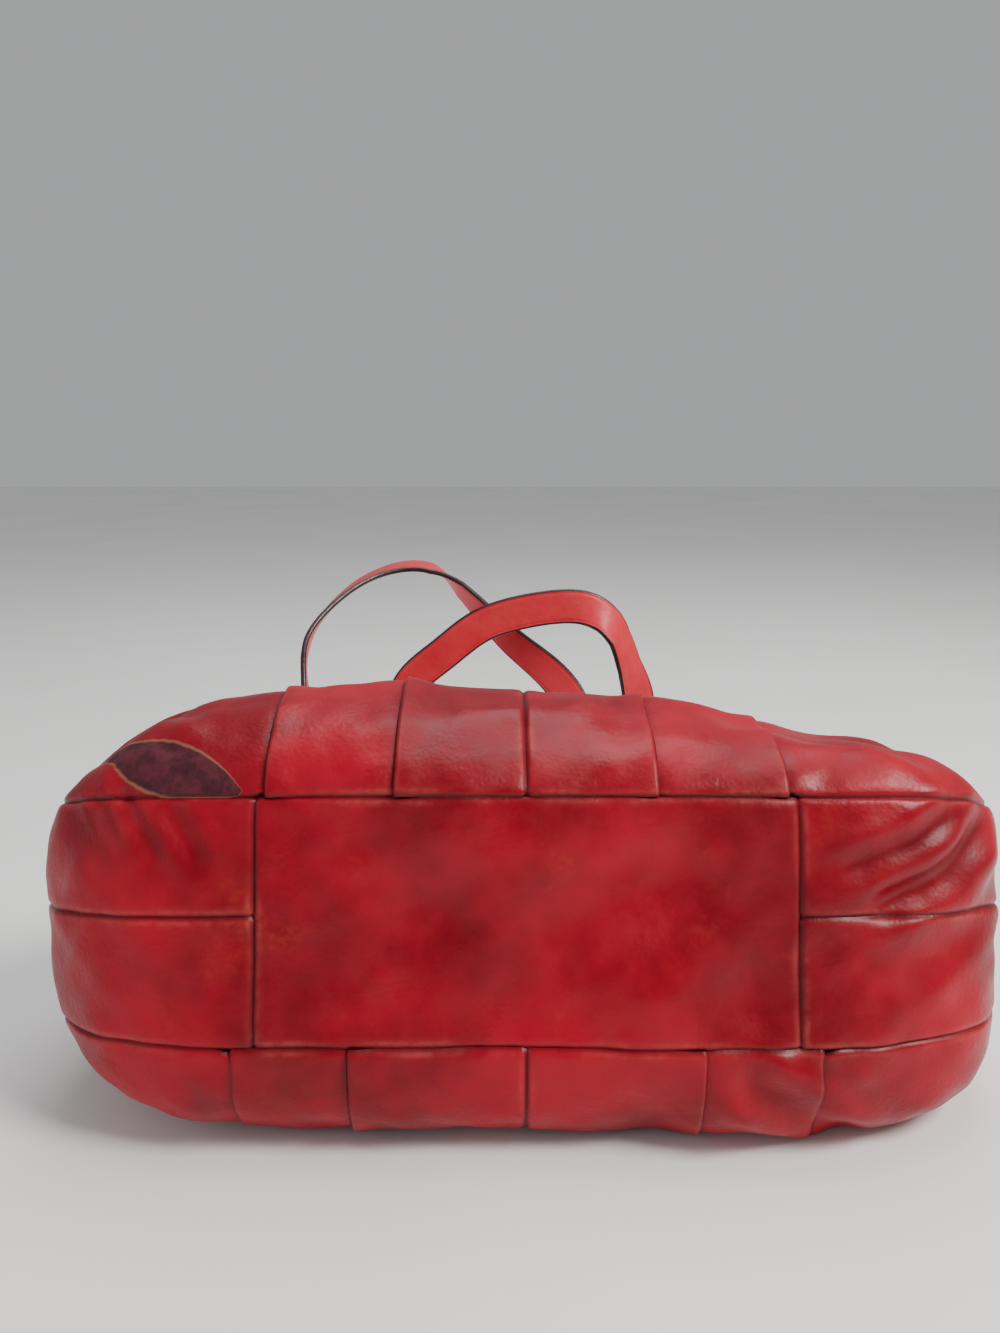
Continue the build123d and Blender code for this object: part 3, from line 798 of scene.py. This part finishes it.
def ribbon(name, points, outward, half, thick, body, skin, groove=0.0):
    """A flat strap swept along points, its outer face towards `outward`."""
    points = np.asarray(points, float)
    tangent = unit(np.gradient(points, axis=0))
    outward = unit(outward - tangent * np.sum(outward * tangent, -1, keepdims=True))
    across = np.cross(tangent, outward)
    ring = strap_outline(half, thick, groove)
    verts = [points + across * x + outward * z for x, z, _ in ring]
    verts = np.stack(verts, 1)
    count = len(ring)
    faces = grid_faces(len(points), count, close_cols=True)
    marks = [1 if ring[j][2] else 0 for _ in range(len(points) - 1) for j in range(count)]
    faces += [tuple(range(count)), tuple(range((len(points) - 1) * count, len(points) * count))[::-1]]
    marks += [1, 1]
    return mesh_object(name, metres(verts.reshape(-1, 3)), faces, [skin, EDGE], body, marks=marks)


def spline(points, start, finish, step=2.0):
    """Smooth interpolating cubic through points with end directions; returns points and their marks."""
    points = np.asarray(points, float)
    chord = np.linalg.norm(np.diff(points, axis=0), axis=1)
    u = np.concatenate([[0], np.cumsum(chord)])
    size = len(points)
    a = np.zeros((size, size))
    b = np.zeros((size, 3))
    a[0, 0] = a[-1, -1] = 1
    b[0], b[-1] = start, finish
    for i in range(1, size - 1):
        h0, h1 = chord[i - 1], chord[i]
        a[i, i - 1:i + 2] = h1, 2 * (h0 + h1), h0
        b[i] = 3 * (h0 * (points[i + 1] - points[i]) / h1 + h1 * (points[i] - points[i - 1]) / h0)
    slope = np.linalg.solve(a, b)
    at = np.linspace(0, u[-1], int(u[-1] / step) + 1)
    k = np.clip(np.searchsorted(u, at, side="right") - 1, 0, size - 2)
    h = chord[k][:, None]
    t = ((at - u[k]) / chord[k])[:, None]
    out = ((2 * t ** 3 - 3 * t ** 2 + 1) * points[k] + (t ** 3 - 2 * t ** 2 + t) * h * slope[k]
           + (3 * t ** 2 - 2 * t ** 3) * points[k + 1] + (t ** 3 - t ** 2) * h * slope[k + 1])
    return out, at, u


FRONT_LOOP = [
    ((-83, 358, 58), (0, -0.1, 1)), ((-87, 392, 76), (0, -0.75, 0.65)), ((-81, 404, 111), (0, -1, 0.1)),
    ((-55, 405, 136), (0, -1, 0.1)), ((-26, 405, 158), (0, -1, 0.1)), ((2, 405, 168), (0, -1, 0.1)),
    ((32, 404, 173), (0, -1, 0.1)), ((54, 402, 172), (0.25, -0.95, 0.2)), ((70, 400, 163), (0.5, -0.8, 0.3)),
    ((79, 400, 150), (0.75, -0.65, 0.1)), ((87, 400, 128), (0.7, -0.7, 0)), ((94, 400, 104), (0.3, -0.95, 0)),
    ((91, 389, 77), (0, -0.75, 0.65)), ((84, 358, 58), (0, -0.1, 1)),
]
BACK_LOOP = [
    ((-114, 332, 46), (-0.6, 0.55, -0.55)), ((-141, 351, 82), (-0.9, 0.3, -0.3)),
    ((-154, 372, 124), (-1, -0.1, 0)), ((-155, 390, 146), (-1, -0.15, 0.1)),
    ((-137, 418, 174), (-0.75, -0.15, 0.6)),
    ((-104, 444, 194), (-0.4, -0.12, 0.9)), ((-65, 452, 196), (0.25, -0.1, 0.95)),
    ((-42, 448, 180), (0.6, 0.45, 0.6)), ((-1, 430, 141), (0.3, 0.87, 0.35)),
    ((42, 405, 102), (0.05, 1, -0.1)),
    ((54, 378, 58), (0.1, 0.9, -0.5)), ((72, 342, 36), (0.1, 0.5, -0.85)),
]


def bar_of(joint):
    for j in frame["joints"]:
        if j["name"] == joint:
            return np.array(j["pos_m"]) * 1000 - SHIFT
    raise ValueError(joint)


def fold_path(gap, reach, radius):
    """Leather folded round a bar: out along one side, round, and back. Returns (along, out) points."""
    back = [(s, gap) for s in np.linspace(reach, 3.0, 12)]
    angles = np.linspace(math.pi / 2, 1.5 * math.pi, 17)
    turn = [(radius * math.cos(a), max(radius, gap) * math.sin(a)) for a in angles]
    front = [(s, -gap) for s in np.linspace(3.0, reach, 12)]
    return np.array(back + turn + front)


def handle(face, loop, tilt, outer_sign):
    bar = bar_of(f"{face}_handle_hinge")[1:]
    along_dir = np.array([0, math.cos(math.radians(tilt)), math.sin(math.radians(tilt))])
    up = np.array([0, -along_dir[2], along_dir[1]])
    outward = up * outer_sign
    ends = [np.array([x, *bar]) for x in (-ATTACH, ATTACH)]
    path = [ends[0] + along_dir * 32] + [np.array(p, float) for p, _ in loop] + [ends[1] + along_dir * 32]
    facing = np.array([outward] + [n for _, n in loop] + [outward], float)
    facing = unit(facing)
    points, at, u = spline(path, along_dir, -along_dir)
    normals = unit(np.stack([np.interp(at, u, facing[:, i]) for i in range(3)], -1))
    straight = np.linspace(4.2, 30, 14)
    first = ends[0] + along_dir * straight[:, None]
    last = ends[1] + along_dir * straight[::-1][:, None]
    points = np.concatenate([first, points, last])
    normals = np.concatenate([np.tile(outward, (14, 1)), normals, np.tile(outward, (14, 1))])
    strap = ribbon(f"handle_{face}_strap", points, normals, STRAP_HALF, STRAP_THICK,
                   f"{face}_handle", STRAP, groove=0.32)
    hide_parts(f"handle_{face}_outer", f"handle_{face}_inner")
    for side, end in (("left", ends[0]), ("right", ends[1])):
        fold = fold_path(2.85, 30.0, 2.75)
        p = end + along_dir * fold[:, :1] + up * fold[:, 1:]
        t = unit(np.gradient(p, axis=0))
        out = np.cross(np.array([1.0, 0, 0]), t)
        chape = ribbon(f"chape_{face}_{side}_wrap", p, out, STRAP_HALF, 0.7,
                       f"{face}_handle", STRAP, groove=0.2)
        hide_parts(f"chape_{face}_{side}")


handle("front", FRONT_LOOP, 0.0, 1)
handle("back", BACK_LOOP, BACK_STRAP_TILT, -1)


def tab(face, sign, x, side):
    bar = bar_of(f"{face}_rings_hinge")
    ys = np.linspace(LENGTH - TAB_LENGTH, LENGTH - 1, 22)

    def on_wall(inset):
        turn = turn_at_x(ys, np.full_like(ys, x), sign)
        return wall(ys, turn, inset)[:, 1:]

    lower, upper = on_wall(-0.95), on_wall(-2.4)
    centre = bar[1:]
    angles = np.linspace(-0.62 * math.pi, 0.62 * math.pi, 19)
    circle = np.array([(2.6 * math.cos(a), 2.6 * math.sin(a)) for a in angles])
    if sign < 0:
        circle = circle * (1, -1)
    loop = centre + circle
    path = np.concatenate([lower, loop, upper[::-1]])
    p = np.concatenate([np.full((len(path), 1), x), path], 1)
    t = unit(np.gradient(p, axis=0))
    out = np.cross(np.array([1.0, 0, 0]), t) * -sign
    piece = ribbon(f"tab_{face}_{side}_fold", p, out, STRAP_HALF, 0.68, "bag", TABS, groove=0.2)
    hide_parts(f"tab_{face}_{side}")


for face, sign in (("front", 1), ("back", -1)):
    for side, x in (("left", -ATTACH), ("right", ATTACH)):
        tab(face, sign, x, side)

for name, node in frame["nodes"].items():
    if name.startswith("ring_") or "rivets" in name:
        node.data.materials.clear()
        node.data.materials.append(BRASS)
    else:
        node.data.materials.clear()
        node.data.materials.append(TABS)

# ------------------------------------------------------------------ floor, light and camera
def stage_material():
    m, t, s, co = material("pale_floor")
    tone = ramp(t, noise(t, co, 3.0, 3.0), 0.3, 0.7)
    t.links.new(mix(t, tone, (0.84, 0.835, 0.82), (0.88, 0.875, 0.865)), s.inputs["Base Color"])
    t.links.new(ramp(t, noise(t, co, 20.0), 0.3, 0.7, (0.55, 0.65)), s.inputs["Roughness"])
    return m


floor_mesh = bpy.data.meshes.new("floor")
corners = [(x, y, -0.0006) for x, y in ((-6, -6), (6, -6), (6, 6), (-6, 6))]
floor_mesh.from_pydata(corners, [], [(0, 1, 2, 3)])
floor_mesh.materials.append(stage_material())
floor = bpy.data.objects.new("floor", floor_mesh)
bpy.context.scene.collection.objects.link(floor)

world = bpy.data.worlds.new("studio")
world.use_nodes = True
world.node_tree.nodes["Background"].inputs[0].default_value = (0.92, 0.93, 0.95, 1.0)
world.node_tree.nodes["Background"].inputs[1].default_value = 0.44
bpy.context.scene.world = world


def area_light(name, place, target, size, power, colour=(1.0, 1.0, 1.0)):
    data = bpy.data.lights.new(name, "AREA")
    data.shape = "RECTANGLE"
    data.size, data.size_y = size
    data.energy = power
    data.color = colour
    obj = bpy.data.objects.new(name, data)
    bpy.context.scene.collection.objects.link(obj)
    obj.location = place
    direction = Vector(target) - Vector(place)
    obj.rotation_euler = direction.to_track_quat("-Z", "Y").to_euler()


area_light("key", (1.1, -0.7, 1.35), (0.02, -0.1, 0.08), (0.6, 0.6), 36.0, (1.0, 0.97, 0.93))
area_light("top", (0.1, 0.3, 1.6), (0.0, -0.05, 0.1), (1.0, 0.8), 14.0)
area_light("fill", (-1.4, -1.0, 0.8), (0.0, -0.1, 0.1), (1.0, 1.0), 4.0, (0.93, 0.96, 1.0))

camera_data = bpy.data.cameras.new("camera")
camera_data.sensor_width = 36.0
camera_data.lens = 29.1673
camera_data.clip_start = 0.02
camera = bpy.data.objects.new("camera", camera_data)
bpy.context.scene.collection.objects.link(camera)
camera.location = metres([-11.0, -400.0, 298.0])
camera.rotation_euler = (math.radians(90 - 12.0), 0.0, 0.0)
bpy.context.scene.camera = camera
